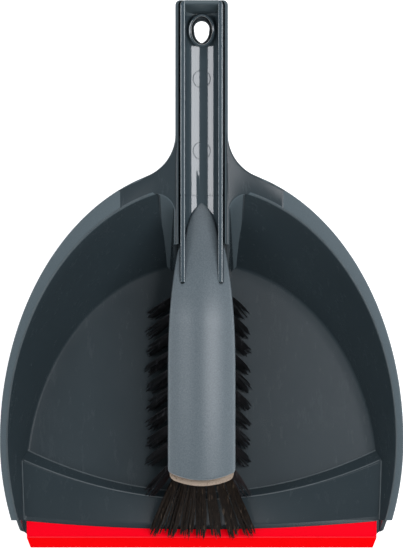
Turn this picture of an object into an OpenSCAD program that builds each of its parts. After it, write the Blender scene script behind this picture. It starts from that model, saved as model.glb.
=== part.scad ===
// Dust pan and hand brush. The brush lies in the pan with its handle nested in the pan's handle.
// Millimetres, +Z up. The shapes are drawn with y = 0 at the lip's edge, and placed() centres them.

/* [Pan bowl] */
// Width of the pan across its rim
pan_w = 242; // [200:1:300]
// Length of the bowl, from the lip's edge to the back of the rim
bowl_len = 229; // [205:1:285]
// Height of the rim at the back
rim_h = 54; // [45:1:66]
// Height of the rim at its two front ends
front_h = 13; // [10.5:0.5:18]
// Thickness of the bowl's moulding
wall_t = 2.2; // [1.8:0.1:2.8]
// Width of the rim at the sides
rim_side = 4.5; // [4:0.1:8]
// Width of the rim at the back
rim_back = 12; // [8:0.5:16]
// Depth of the rim's turned-down edge
rim_drop = 4; // [3:0.5:6]
// Width of the sloping side walls, seen from above
slope_side = 11; // [6:0.5:16]
// Length of the sloping back wall, seen from above
slope_back = 46; // [36:1:58]
// Distance from the lip's edge to the widest part of the rim
widest_y = 64; // [50:1:80]
// Height of the dirt-stop ridge
ridge_h = 9; // [6:0.5:11]
// Distance from the lip's edge to the ridge, at its middle
ridge_y = 29; // [26:1:40]
// How far the ridge bows forwards
ridge_bow = 23; // [10:1:28]

/* [Rubber lip] */
// Distance from each end of the lip to the foot of the pan's side wall
lip_side = 0.5; // [0.3:0.1:3]
// Length of the lip at its middle, front to back
lip_len = 11; // [10:0.5:14]
// How much longer the lip is at its two ends
lip_bow = 5; // [2:0.5:5]
// Thickness of the lip over the pan's edge
lip_t = 3.3; // [3.1:0.1:4]
// Clearance round the pan's edge in the lip's groove
groove_fit = 0.1; // [0.05:0.05:0.15]

/* [Handles] */
// Length of both handles behind the rim
handle_len = 99; // [80:1:140]
// Width of the pan's handle
handle_w = 31.5; // [28:0.5:38]
// Depth of the pan's handle
handle_h = 15.8; // [13:0.2:19]
// Thickness of the pan's handle
handle_t = 2; // [1.6:0.1:2.6]
// Gap between the two handles at each side
nest_gap = 1; // [0.6:0.1:1.6]
// Gap under the brush's handle
seat_gap = 0.4; // [0.3:0.1:1]
// Depth of the brush's handle
grip_h = 18.5; // [16:0.5:22]
// Thickness of the brush's handle
grip_t = 2.1; // [1.8:0.1:2.6]
// Radius of the hanging hole in the pan's handle
hang_r = 4.6; // [3.8:0.1:5.2]
// Distance from the handle's end to the hanging hole
hang_inset = 18; // [17:0.5:24]

/* [Brush head] */
// Length of the head cover from its neck to its front edge
head_len = 137; // [115:1:165]
// Width of the head cover
head_w = 40.4; // [38:0.2:49]
// Height of the crown above the brush handle's rails
crown_h = 6; // [4:0.5:9]
// Length of the tongue that runs up the brush's handle
tongue_len = 29.5; // [20:0.5:36]
// Thickness of the head cover
cover_t = 2.2; // [1.6:0.1:2.8]
// Thickness of the bristle block
block_t = 10; // [9:0.5:13]
// How far the block stands out in front of the cover
block_front = 3.5; // [1:0.5:5]
// Clearance between the block's plug and the cover
plug_fit = 0.2; // [0.1:0.05:0.4]

/* [Bristles] */
// Distance between tufts along a row
tuft_pitch = 11; // [9.5:0.1:13.5]
// Radius of a tuft at the block
tuft_r = 2; // [1.6:0.1:2.2]
// Radius of a tuft at its tips
splay_r = 4.5; // [3:0.1:4.8]
// Clearance of a tuft in its hole
tuft_fit = 0.1; // [0.05:0.05:0.2]
// Depth of a tuft's hole
tuft_depth = 7; // [5:0.5:8]
// How far the side rows lean outwards
lean_out = 16; // [8:1:20]
// How far every tuft leans forwards
lean_front = 13; // [6:1:16]
// Clearance under the bristles' tips
tip_gap = 0.8; // [0.5:0.1:2]

/* [Hidden] */
$fn = 48;
eps = 0.01;
past = 1;

pan_grey = [0.22, 0.26, 0.28];
lip_red = [0.95, 0.02, 0.02];
gloss_grey = [0.16, 0.20, 0.23];
cover_grey = [0.42, 0.47, 0.50];
block_beige = [0.66, 0.57, 0.48];
hair_brown = [0.10, 0.08, 0.07];
steel = [0.7, 0.7, 0.72];

set_len = bowl_len + handle_len;

// Rim: an ellipse with a longer half behind the widest line and a shorter half before it.
rim_a = pan_w / 2;
rim_b = bowl_len - widest_y;
rim_front = 145;
rim_steps = 60;
rim_rise = 1.6;
rim_step = 0.2;

// Foot of the walls: an ellipse round the flat floor.
foot_mid = 40;
foot_a = rim_a - rim_side - slope_side;
foot_b = bowl_len - rim_back - slope_back - foot_mid;
foot_flare = 1.1;

// Where the back of an ellipse round the bowl is, at a distance from the middle line
function outer_y(x) = widest_y + rim_b * sqrt(1 - pow(x / rim_a, 2));
function inner_y(x) = widest_y + (rim_b - rim_back) * sqrt(1 - pow(x / (rim_a - rim_side), 2));
function foot_y(x) = foot_mid + foot_b * sqrt(1 - pow(x / foot_a, 2));

// Lip, and the thin edge of the pan that the lip's groove holds
lip_w = 2 * (foot_a - lip_side);
edge_y = 6.5;
edge_side = 2;
lip_under = 1;
groove_top = wall_t + groove_fit;
lip_back = lip_len + lip_bow;
edge_z = lip_under + 2 * groove_fit;
edge_top = wall_t - groove_fit;

// The walls and the thick floor start behind the lip. The side rims are level behind level_y.
wall_gap = 0.5;
wall_y = lip_back + wall_gap;
level_y = bowl_len - 29;
first_angle = asin((wall_y - widest_y) / rim_front);

// Handle levels. The floors of both handles are a little thicker than their walls.
floor_extra = 0.4;
channel_z = rim_h - handle_h;
channel_floor = channel_z + handle_t + floor_extra;
channel_r = 5;
grip_w = handle_w - 2 * handle_t - 2 * nest_gap;
grip_z = channel_floor + seat_gap;
grip_floor = grip_z + grip_t + floor_extra;
rail_z = grip_z + grip_h;
trough_r = grip_w / 2 - grip_t;
grip_r = 8;
end_r = 3;
hang_y = set_len - hang_inset;
end_slope = 6;
wall_over = 9;
ring_h = 6;

// The saddle is the part of the channel that reaches into the bowl under the brush's neck. A web on
// each side carries the rim out to the handle, with a fillet behind and a pocket's corner in front.
cheek_reach = 47;
saddle_reach = 69;
cheek_y = bowl_len - cheek_reach;
saddle_y = bowl_len - saddle_reach;
web_r = 27;
web_rise = 0.9;
web_y = outer_y(handle_w / 2 + web_r) + web_r + web_rise;
web_reach = 30;
corner_r = 10.3;
corner_gap = 0.7;
corner_y = inner_y(0) - corner_r - 5.2;

// Brush head, placed from the saddle. The rails run on over the cover, and past its lower edge.
neck_gap = 4;
rail_reach = 18.5;
rail_over = 5.5;
neck_y = cheek_y - neck_gap;
front_y = neck_y - head_len;
tongue_y = neck_y + tongue_len;
grip_y = neck_y - rail_reach;
block_back = grip_y - 1.5;
base_z = rail_z - rail_over;
crown_z = rail_z + crown_h;
block_z = base_z - block_t;
side_drop = 7;
front_fall = 2;
front_r = 42.5;
neck_w = 14.2;
taper_len = 78;
rise_len = 28;
fall_len = 49;
flank_z = base_z - 8;
slot_fit = 0.1;
slot_end = slot_fit + 0.4;
block_inset = 0.9;
plug_end = 5;
plug_h = 2;

// Bristles
tip_z = wall_t + tip_gap;
ridge_tip_z = ridge_h + tip_gap + 0.4;
front_tip_z = lip_t + tip_gap + 0.5;
row_inset = 5.7;
row_front = 12;
row_end = 5;
row_x = head_w / 2 - row_inset;
inner_x = row_x / 2;
row_y = front_y + row_front;
row_count = floor((block_back - row_end - row_y) / tuft_pitch) + 1;
fan_lean = 21;
screw_rows = [2, row_count - 3];
screw_r = 1.6;
boss_r = 4;
boss_z = base_z + plug_h + plug_fit;

function mix(a, b, t) = a + (b - a) * t;
function clamp(t) = min(1, max(0, t));
function arc(cx, cy, r, a0, a1, n) =
    [for (i = [0:n]) let (a = mix(a0, a1, i / n)) [cx + r * cos(a), cy + r * sin(a)]];
function mirrored(points) = [for (i = [len(points) - 1:-1:0]) [-points[i].x, points[i].y]];
function at_height(points, z) = [for (p = points) [p.x, p.y, z]];

module placed() {
    translate([0, -set_len / 2, 0])
        children();
}

// Closes a ring of points that is the same on both sides, with its middle point at the back, by strips
// from side to side. The ring itself may be hollow in places.
function strips(ring) =
    let (n = len(ring), half = (n - 1) / 2)
    concat(
        [for (i = [0:half - 2]) [ring[i], ring[i + 1], ring[n - 2 - i], ring[n - 1 - i]]],
        [[ring[half - 1], ring[half], ring[half + 1]]]);

// A solid that runs through rings of equally many points. A ring turns anticlockwise when it is
// looked at against the direction in which the rings follow each other. End rings that aren't convex
// are symmetric, and strips close them.
module loft(rings, symmetric = false) {
    n = len(rings[0]);
    m = len(rings);
    sides = [for (i = [0:m - 2], j = [0:n - 1])
        let (k = (j + 1) % n)
        each [[i * n + j, (i + 1) * n + j, i * n + k], [(i + 1) * n + j, (i + 1) * n + k, i * n + k]]];
    first = [for (j = [0:n - 1]) j];
    last = [for (j = [n - 1:-1:0]) (m - 1) * n + j];
    caps = symmetric ? concat(strips(first), strips(last)) : [first, last];
    polyhedron([for (r = rings) each r], concat(sides, caps));
}

// Extrudes an outline of [x, z] points from y0 to y1.
module along_y(y0, y1, outline) {
    translate([0, y1, 0])
        rotate([90, 0, 0])
            linear_extrude(y1 - y0)
                polygon(outline);
}

// Extrudes an outline of [y, z] points across x, half on each side.
module across_x(width, outline) {
    translate([-width / 2, 0, 0])
        rotate([90, 0, 90])
            linear_extrude(width)
                polygon(outline);
}

// Turns +Z to run from point a towards point b.
module aim(a, b) {
    d = b - a;
    translate(a)
        rotate([0, acos(d.z / norm(d)), atan2(d.y, d.x)])
            children();
}

// Cuts a handle's end corners round.
module end_corners(half_w) {
    for (side = [-1, 1])
        translate([side * (half_w - end_r), set_len - end_r, 0])
            difference() {
                translate([side > 0 ? 0 : -2 * end_r, 0, 0])
                    cube([2 * end_r, 2 * end_r, 2 * rim_h]);
                translate([0, 0, -past])
                    cylinder(r = end_r, h = 2 * rim_h + 2 * past);
            }
}

function channel_outline(half_w, z0, z1, r) = concat(
    arc(half_w - r, z0 + r, r, -90, 0, 8), [[half_w, z1], [-half_w, z1]],
    arc(r - half_w, z0 + r, r, 180, 270, 8));

// ---- dust pan ----

function rim_z(y) =
    let (t = clamp((y - wall_y) / (level_y - wall_y)))
    mix(front_h, rim_h, 1 - pow(1 - t, rim_rise));

function rim_point(angle, a, b) =
    [a * cos(angle), widest_y + (sin(angle) < 0 ? rim_front : b) * sin(angle)];

function foot_point(angle) =
    let (side = cos(angle) < 0 ? -1 : 1, ahead = asin(min(0, sin(angle))) / first_angle)
    ahead > 0
        ? [side * (foot_a + foot_flare * ahead), mix(foot_mid, wall_y, ahead)]
        : [foot_a * cos(angle), foot_mid + foot_b * sin(angle)];

function outwards(angle) =
    let (v = [cos(angle) / rim_a, max(0, sin(angle)) / rim_b])
    v / norm(v);

// The wall's section: up the outside, round the rim's turned-down edge and down the inside.
function wall_section(angle) =
    let (
        inner = rim_point(angle, rim_a - rim_side, rim_b - rim_back),
        outer = rim_point(angle, rim_a, rim_b),
        foot = foot_point(angle),
        out = outwards(angle),
        top = rim_z(inner.y),
        lean = (inner - foot) / (top - wall_t),
        skin = out * wall_t * sqrt(1 + pow(lean * out, 2)),
        low = foot - lean * wall_t + skin,
        high = inner - lean * wall_t + skin,
        turn = outer - out * wall_t
    )
    [
        [low.x, low.y, 0],
        [high.x, high.y, top - wall_t],
        [turn.x, turn.y, top - wall_t],
        [turn.x, turn.y, top - rim_drop],
        [outer.x, outer.y, top - rim_drop],
        [outer.x, outer.y, top],
        [inner.x, inner.y, top],
        [foot.x, foot.y, wall_t]
    ];

// Floor and walls in one solid, open at the front and the top.
module bowl() {
    n = 8;
    last = rim_steps * n;
    points = [for (i = [0:rim_steps])
        each wall_section(mix(first_angle, 180 - first_angle, i / rim_steps))];
    skin = [for (i = [0:rim_steps - 1], j = [0:n - 2])
        let (a = i * n + j, b = a + n)
        each [[a, a + 1, b + 1], [a, b + 1, b]]];
    right_end = [[7, 6, 1, 0], [6, 5, 2, 1], [5, 4, 3, 2]];
    left_end = [for (q = right_end) [for (j = [3:-1:0]) last + q[j]]];
    floor_top = strips([for (i = [rim_steps:-1:0]) i * n + n - 1]);
    floor_under = strips([for (i = [0:rim_steps]) i * n]);
    front = [n - 1, 0, last, last + n - 1];
    polyhedron(points, concat(skin, right_end, left_end, floor_top, floor_under, [front]));
}

function lip_edge(x) = lip_len + lip_bow * pow(2 * x / lip_w, 2);
function crest_y(x) = ridge_y + ridge_bow * pow(x / foot_a, 2);
function crest_back(x) = crest_y(x) + 3.4 + 2.6 * pow(x / foot_a, 2);

// The thin front edge, narrower where it runs into the lip's groove.
module front_edge() {
    half = foot_a + foot_flare;
    nose = lip_w / 2 - edge_side;
    right = [[nose, edge_y + groove_fit], [half, wall_y - 7], [half, wall_y + 4]];
    translate([0, 0, edge_z])
        linear_extrude(edge_top - edge_z)
            polygon(concat(right, mirrored(right)));
}

// The ramp up from the lip to the ridge, and the drop behind the ridge. Its ends lean with the walls.
module ramp() {
    slices = 24;
    base = mix(edge_z, edge_top, 0.5);
    rings = [for (i = [0:slices])
        let (
            t = 2 * i / slices - 1,
            x = t * (foot_a + 1.3),
            x_top = t * (foot_a + 3.3),
            y = lip_edge(x) + groove_fit
        )
        [[x, y, base], [x, crest_back(x), base], [x, crest_back(x), wall_t], [x_top, crest_y(x), ridge_h]]];
    loft(rings);
}

module ramp_hollow() {
    half = foot_a - 1.5;
    slices = 24;
    rings = [for (i = [0:slices])
        let (x = mix(-half, half, i / slices))
        [[x, wall_y + 1.5, -past], [x, crest_back(x) - 3, -past],
            [x, crest_y(x) - 0.8, ridge_h - 1.3 * wall_t]]];
    loft(rings);
}

// The flat webs that carry the rim out to the handle. They overlap the rim from its inner edge on.
module rim_webs() {
    x0 = handle_w / 2;
    end = x0 + web_reach;
    front = corner_y + corner_r + 2;
    web = concat(
        [[x0 - past, front], [x0 + 18.5, front], [end, inner_y(end) + 4.4], [end, outer_y(end) - 0.4]],
        arc(x0 + web_r, web_y, web_r, 270, 180, 12),
        [[x0 - past, web_y]]);
    translate([0, 0, rim_h - rim_drop + rim_step])
        linear_extrude(rim_drop - 3 * rim_step) {
            polygon(web);
            polygon(mirrored(web));
        }
}

// Outlines of the saddle: at the rim it follows the bowl's rounded corner, at the floor it narrows
// forwards in two facets. Its back lies inside the bowl's back wall.
saddle_sink = 1.2;

function saddle_top() =
    let (
        x0 = handle_w / 2,
        back = [for (x = [24, 16, 8, 0]) [x, inner_y(x) + saddle_sink]],
        corner = arc(x0 + corner_gap + corner_r, corner_y, corner_r, 180, 95, 6)
    )
    concat([[x0 - 0.6, saddle_y + 6], [x0 + corner_gap, cheek_y]], corner, back);

function saddle_foot() =
    let (
        x0 = handle_w / 2,
        back = [for (x = [18, 12, 6, 0]) [x, foot_y(x) + saddle_sink]],
        facet = [for (i = [0:6]) mix([x0 + 2.4, saddle_y + 5.2], [x0 + 7.2, saddle_y + 9.5], i / 6)]
    )
    concat([[x0 + 1.2, saddle_y], [x0 + 2, saddle_y + 4]], facet, back);

module saddle() {
    top = saddle_top();
    foot = saddle_foot();
    left_top = [for (i = [len(top) - 2:-1:0]) [-top[i].x, top[i].y]];
    left_foot = [for (i = [len(foot) - 2:-1:0]) [-foot[i].x, foot[i].y]];
    low = at_height(concat(foot, left_foot), wall_t / 2);
    high = at_height(concat(top, left_top), rim_h + 2);
    intersection() {
        loft([low, high], true);
        translate([-rim_a, 0, 0])
            cube([pan_w, bowl_len, rim_h - 3 * rim_step]);
    }
}

module saddle_hollow() {
    x0 = handle_w / 2;
    hull() {
        translate([0, 0, -past])
            linear_extrude(past)
                polygon([[-x0 + 1.4, saddle_y + 2.6], [x0 - 1.4, saddle_y + 2.6], [x0 + 2, saddle_y + 9],
                    [x0 + 2, saddle_y + 28], [-x0 - 2, saddle_y + 28], [-x0 - 2, saddle_y + 9]]);
        translate([0, 0, channel_z - past])
            linear_extrude(past)
                polygon([[-x0 + 2.6, saddle_y + 8.4], [x0 - 2.6, saddle_y + 8.4], [x0 - 2.6, bowl_len],
                    [-x0 + 2.6, bowl_len]]);
    }
}

// The hanging hole: a round hole that narrows forwards to a slit.
module hang_hole() {
    small_r = hang_r - 2;
    translate([0, hang_y, channel_z - past])
        cylinder(r = hang_r, h = rim_h);
    translate([0, hang_y - 3.8, channel_z - past])
        cylinder(r = small_r, h = rim_h);
    translate([-1, hang_y - hang_r - 4.1, channel_z - past])
        cube([2, hang_r, rim_h]);
}

module dust_pan() {
    half = handle_w / 2;
    color(pan_grey)
        placed()
            difference() {
                union() {
                    bowl();
                    ramp();
                    rim_webs();
                    saddle();
                    along_y(cheek_y, set_len,
                        channel_outline(half, channel_z, rim_h - rim_step, channel_r + 1));
                    translate([0, hang_y, channel_z])
                        cylinder(r = hang_r + 1.2, h = grip_z - channel_z + 2);
                    front_edge();
                }
                difference() {
                    along_y(saddle_y - past, set_len - handle_t,
                        channel_outline(half - handle_t, channel_floor, 2 * rim_h, channel_r));
                    translate([0, hang_y, 0])
                        cylinder(r = hang_r + 1.2, h = grip_z + 2);
                }
                // the cheeks stop short of the brush's head
                translate([-handle_w, saddle_y - past, channel_floor])
                    cube([2 * handle_w, cheek_y - saddle_y + past, rim_h]);
                // the end wall stays under the end of the brush's handle
                translate([handle_t - half, set_len - handle_t - past, grip_z + wall_over])
                    cube([handle_w - 2 * handle_t, handle_t + 2 * past, rim_h]);
                saddle_hollow();
                ramp_hollow();
                hang_hole();
                end_corners(half);
            }
}

module lip_strip() {
    half = lip_w / 2;
    behind = [for (i = [-12:12]) let (x = half * i / 12) [x, lip_edge(x)]];
    profile = [[0, 0], [lip_back, 0], [lip_back, lip_under], [edge_y, lip_under], [edge_y, groove_top],
        [lip_back + past, groove_top], [lip_back + past, lip_t], [edge_y + 0.6, lip_t],
        [edge_y - 0.4, lip_t - 0.9], [0, lip_under]];
    color(lip_red)
        placed()
            difference() {
                across_x(lip_w, profile);
                translate([0, 0, groove_top - eps])
                    linear_extrude(lip_t)
                        polygon(concat([for (p = behind) p],
                            [[half + past, lip_back + 2 * past], [-half - past, lip_back + 2 * past]]));
                for (side = [-1, 1])
                    translate([0, 0, -past])
                        linear_extrude(lip_t + 2 * past)
                            polygon([[side * (half - 2.3), -past], [side * (half + past), -past],
                                [side * (half + past), edge_y], [side * half, edge_y]]);
            }
}

// ---- brush handle ----

function trough_outline(r) = concat(
    arc(0, grip_floor + trough_r, r, 180, 360, 20), [[r, rail_z + past], [-r, rail_z + past]]);

// An oblong with two true half-cylinders
module oblong(r, reach, z0, z1) {
    for (side = [-1, 1])
        translate([0, hang_y + side * reach, z0])
            cylinder(r = r, h = z1 - z0);
    translate([-r, hang_y - reach, z0])
        cube([2 * r, 2 * reach, z1 - z0]);
}

module grip_channel(grow) {
    difference() {
        along_y(grip_y - grow, set_len,
            channel_outline(grip_w / 2 + grow, grip_z - grow, rail_z + grow, grip_r));
        along_y(grip_y - past, set_len + past, trough_outline(trough_r - grow));
    }
}

module brush_handle() {
    top_y = set_len - grip_t;
    color(gloss_grey)
        placed()
            difference() {
                union() {
                    grip_channel(0);
                    // the trough's end wall
                    intersection() {
                        along_y(grip_y, set_len, channel_outline(grip_w / 2, grip_z, rail_z, grip_r));
                        across_x(handle_w, [[top_y - end_slope - 1.2, grip_z],
                            [top_y - end_slope, grip_floor], [top_y, rail_z], [set_len, rail_z],
                            [set_len, grip_z]]);
                    }
                    // the ring round the hanging hole
                    intersection() {
                        along_y(grip_y, set_len, channel_outline(grip_w / 2, grip_z, rail_z, grip_r));
                        oblong(trough_r - 2, 1.6, grip_z, grip_floor + ring_h);
                    }
                }
                // the end rises over the pan handle's end wall
                across_x(handle_w, [[set_len - end_slope, grip_z - past],
                    [set_len - end_slope + 0.5, grip_z], [set_len + eps, rail_z - 2.5],
                    [set_len + past, grip_z - past]]);
                oblong(hang_r + 1.6, 2.3, grip_z - past, rail_z);
                end_corners(grip_w / 2);
            }
}

// ---- brush head ----

function cover_half_w(y) =
    mix(head_w / 2, neck_w, pow(clamp((y - neck_y + taper_len) / taper_len), 2.6));

function crown_at(y) =
    let (
        rise = clamp((y - neck_y + rise_len) / (tongue_len + rise_len)),
        fall = clamp((front_y + fall_len - y) / fall_len)
    )
    mix(crown_z, grip_floor, pow(rise, 1.15)) - front_fall * fall * fall;

// Half the plan outline of the head, from the front's middle to the neck, as [half width, y].
function head_plan(inset, front) =
    let (
        r = front_r,
        w = head_w / 2 - inset,
        turn = asin((w - 2.6) / r),
        nose = [for (i = [1:5]) let (a = turn * i / 5) [r * sin(a), front + r - r * cos(a)]],
        bend = [[w - 1.1, nose[4].y + 1.2], [w - 0.3, nose[4].y + 2.9], [w, nose[4].y + 5]]
    )
    concat([[1.2, front]], nose, bend);

// One cross-section of a crowned head: a flat base at z0 and an arched top.
function cover_top(x, y) = crown_at(y) - side_drop * pow(2 * x / head_w, 2);

function head_ring(y, w, z0, sink) =
    let (n = 10)
    concat(
        [[w, y, z0], [-w, y, z0]],
        [for (i = [0:n]) let (x = mix(-w, w, i / n)) [x, y, cover_top(x, y) - sink]]);

// The arched solid from the front to y1.
module head_solid(inset, sink, z0, front, y1) {
    plan = head_plan(inset, front);
    y0 = plan[len(plan) - 1].y;
    steps = 24;
    nose = [for (p = plan) head_ring(p.y, p.x, z0, sink)];
    body = [for (i = [1:steps])
        let (y = mix(y0, y1, i / steps))
        head_ring(y, cover_half_w(y) - inset, z0, sink)];
    loft(concat(nose, body));
}

// The neck's two flanks and the foot of the tongue, from the block's end to the neck.
module neck_solid(z0, y0, y1, w_limit) {
    steps = 10;
    rings = [for (i = [0:steps])
        let (y = mix(y0, y1, i / steps), w = cover_half_w(min(y, neck_y)))
        head_ring(y, min(w_limit, w), z0, 0)];
    loft(rings);
}

function screw_y(i) = row_y + tuft_pitch * screw_rows[i];

module head_cover() {
    color(cover_grey)
        placed() {
            difference() {
                union() {
                    difference() {
                        head_solid(0, 0, base_z, front_y, grip_y - slot_end);
                        head_solid(cover_t, cover_t, base_z - past, front_y + cover_t, grip_y - plug_end);
                    }
                    for (i = [0, 1])
                        intersection() {
                            translate([0, screw_y(i), boss_z])
                                cylinder(r = boss_r, h = crown_z);
                            head_solid(cover_t / 2, cover_t / 2, base_z, front_y + cover_t,
                                grip_y - plug_end);
                        }
                    difference() {
                        neck_solid(flank_z, grip_y - slot_end - eps, neck_y, head_w);
                        grip_channel(slot_fit);
                    }
                    intersection() {
                        neck_solid(grip_z - past, neck_y - eps, tongue_y, trough_r);
                        along_y(neck_y - past, tongue_y + past, trough_outline(trough_r - slot_fit));
                    }
                }
                for (i = [0, 1])
                    translate([0, screw_y(i), boss_z - past])
                        cylinder(r = screw_r + 0.1, h = 6);
            }
        }
}

// ---- bristle block, tufts, anchors and screws ----

// How far a tuft leans forwards: more and more towards the front.
function lean_at(y) = lean_front + fan_lean * pow(clamp((row_y + 7 - y) / 16.5), 1.2);

function side_x(y) = min(row_x, cover_half_w(y) - 4.6);

// Each tuft is [root, tip] on the block's underside and at the bristles' ends.
function tuft(x, out, y) =
    let (tip_y = y - lean_at(y), over_ridge = tip_y < crest_back(x + out) + splay_r + 2)
    [[x, y, block_z], [x + out, tip_y, over_ridge ? ridge_tip_z : tip_z]];

function outer_row(side) =
    [for (k = [0:row_count - 1])
        let (y = row_y + tuft_pitch * k)
        tuft(side * side_x(y), side * lean_out, y)];

function inner_row(side) =
    [for (k = [0:row_count - 2])
        tuft(side * inner_x, side * lean_out / 2, row_y + tuft_pitch * (k + 0.5))];

// The middle row leaves room for the screws.
function centre_row() =
    [for (k = [0:row_count - 1])
        if (k != screw_rows[0] && k != screw_rows[1])
            tuft(0, 0, row_y + tuft_pitch * k)];

function front_row() =
    [for (k = [-2:2])
        let (x = k * (row_x - 1.3) / 2, y = front_y + 2.5 + 0.7 * k * k)
        [[x, y, block_z], [x * 2.1, y - lean_front - fan_lean, front_tip_z]]];

function all_tufts() =
    concat(outer_row(-1), inner_row(-1), centre_row(), inner_row(1), outer_row(1), front_row());

anchor_t = 0.5;
anchor_h = 2;

module tufts(row) {
    color(hair_brown)
        placed()
            for (t = row) {
                reach = norm(t[1] - t[0]);
                difference() {
                    intersection() {
                        aim(t[0], t[1]) {
                            translate([0, 0, 0.1 - tuft_depth])
                                cylinder(r = tuft_r, h = tuft_depth + 1.4);
                            translate([0, 0, 1.5])
                                cylinder(r1 = tuft_r, r2 = splay_r * 1.1, h = reach * 1.15);
                        }
                        translate([-pan_w / 2, -set_len / 2, t[1].z])
                            cube([pan_w, 2 * set_len, rim_h]);
                    }
                    aim(t[0], t[1])
                        translate([-tuft_r - past, -anchor_t / 2 - 0.1, -tuft_depth - past])
                            cube([2 * tuft_r + 2 * past, anchor_t + 0.2, anchor_h + past + 0.3]);
                }
            }
}

module tuft_anchors() {
    color(steel)
        placed()
            for (t = all_tufts())
                aim(t[0], t[1])
                    translate([-tuft_r, -anchor_t / 2, 0.15 - tuft_depth])
                        cube([2 * tuft_r, anchor_t, anchor_h]);
}

// Half the outline of a solid under the cover, from its front to y1.
function head_half(inset, front, y1) =
    let (plan = head_plan(inset, front), y0 = plan[len(plan) - 1].y)
    concat(plan, [for (i = [1:12]) let (y = mix(y0, y1, i / 12)) [cover_half_w(y) - inset, y]]);

module bristle_block() {
    plug_inset = cover_t + plug_fit;
    half = head_half(block_inset, front_y - block_front, block_back);
    plug_half = head_half(plug_inset, front_y + plug_inset, grip_y - plug_end - plug_fit);
    color(block_beige)
        placed()
            difference() {
                union() {
                    translate([0, 0, block_z])
                        linear_extrude(block_t)
                            polygon(concat(half, mirrored(half)));
                    translate([0, 0, base_z - eps])
                        linear_extrude(plug_h + eps)
                            polygon(concat(plug_half, mirrored(plug_half)));
                }
                for (t = all_tufts())
                    aim(t[0], t[1])
                        translate([0, 0, -tuft_depth])
                            cylinder(r = tuft_r + tuft_fit, h = tuft_depth + 4);
                for (i = [0, 1])
                    translate([0, screw_y(i), block_z]) {
                        translate([0, 0, -past])
                            cylinder(r = screw_r + 0.3, h = block_t + 2 * past + 4);
                        translate([0, 0, -past])
                            cylinder(r1 = 3.5 + past, r2 = screw_r, h = 2 + 2 * past);
                    }
            }
}

module block_screws() {
    color(steel)
        placed()
            for (i = [0, 1])
                translate([0, screw_y(i), block_z + 0.3])
                    difference() {
                        union() {
                            cylinder(r1 = 3, r2 = screw_r, h = 1.6);
                            cylinder(r = screw_r, h = block_t + 6);
                        }
                        for (turn = [0, 90])
                            rotate([0, 0, turn])
                                translate([-1.7, -0.3, -past])
                                    cube([3.4, 0.6, past + 1]);
                    }
}

module tufts_left_outer() { tufts(outer_row(-1)); }
module tufts_left_inner() { tufts(inner_row(-1)); }
module tufts_centre() { tufts(centre_row()); }
module tufts_right_inner() { tufts(inner_row(1)); }
module tufts_right_outer() { tufts(outer_row(1)); }
module tufts_front() { tufts(front_row()); }

dust_pan();
lip_strip();
brush_handle();
head_cover();
bristle_block();
block_screws();
tuft_anchors();
tufts_left_outer();
tufts_left_inner();
tufts_centre();
tufts_right_inner();
tufts_right_outer();
tufts_front();
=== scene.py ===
import math
import random

import bmesh
import bpy
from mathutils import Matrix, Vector
from mathutils.geometry import delaunay_2d_cdt


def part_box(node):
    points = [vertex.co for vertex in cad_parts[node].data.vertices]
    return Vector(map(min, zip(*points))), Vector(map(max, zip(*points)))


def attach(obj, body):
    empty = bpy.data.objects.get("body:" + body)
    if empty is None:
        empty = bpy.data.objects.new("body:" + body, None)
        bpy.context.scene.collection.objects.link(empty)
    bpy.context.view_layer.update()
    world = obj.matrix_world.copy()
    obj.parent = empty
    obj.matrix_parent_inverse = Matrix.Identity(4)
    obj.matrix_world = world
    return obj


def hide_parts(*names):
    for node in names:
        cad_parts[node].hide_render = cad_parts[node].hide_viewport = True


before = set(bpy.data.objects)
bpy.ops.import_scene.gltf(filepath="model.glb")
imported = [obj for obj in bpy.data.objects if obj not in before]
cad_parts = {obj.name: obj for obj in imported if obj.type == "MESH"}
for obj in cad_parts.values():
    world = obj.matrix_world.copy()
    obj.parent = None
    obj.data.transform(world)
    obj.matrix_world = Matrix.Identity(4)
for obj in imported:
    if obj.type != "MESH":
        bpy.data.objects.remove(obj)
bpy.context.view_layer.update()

# A dust pan with a soft lip, and a hand brush whose handle nests in the pan's open handle.
# Shapes are drawn in millimetres with y = 0 at the lip's edge, as the set is drawn in its plan.

MM = 0.001
LIP_EDGE_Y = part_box("lip_strip")[0][1]


def drawn(point):
    """A point of the frame, in the drawing's millimetres."""
    return Vector((point[0] / MM, (point[1] - LIP_EDGE_Y) / MM, point[2] / MM))


def placed(point):
    """A point of the drawing, in the frame's metres."""
    return Vector((point[0] * MM, point[1] * MM + LIP_EDGE_Y, point[2] * MM))


def drawn_box(node):
    """The low and high corners of a CAD node's box, as drawn."""
    low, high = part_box(node)
    return drawn(low), drawn(high)


pan_high = drawn_box("dust_pan")[1]
lip_high = drawn_box("lip_strip")[1]
grip_low, grip_high = drawn_box("brush_handle")
head_low, head_high = drawn_box("head_cover")
block_low = drawn_box("bristle_block")[0]

# Pan bowl
RIM_H = pan_high.z
FRONT_H = 13
FLOOR_T = 2.2
RIM_SIDE = 4.5
RIM_BACK = 12
RIM_DROP = 4
BOWL_LEN = 229
WIDEST_Y = 64
RIM_A = pan_high.x
RIM_B = BOWL_LEN - WIDEST_Y
RIM_FRONT = 145
FOOT_MID = 40
FOOT_A = RIM_A - 15.5
FOOT_B = BOWL_LEN - RIM_BACK - 46 - FOOT_MID
FOOT_FLARE = 1.1
LIP_HALF = lip_high.x
LIP_LEN = 11
LIP_BOW = lip_high.y - LIP_LEN
LIP_T = lip_high.z
LIP_STEP_Y = 6.5
LIP_UNDER = 1
WALL_Y = lip_high.y + 0.5
FIRST_ANGLE = math.asin((WALL_Y - WIDEST_Y) / RIM_FRONT)
RIDGE_H = 9
RIDGE_Y = 29
RIDGE_BOW = 23

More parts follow.
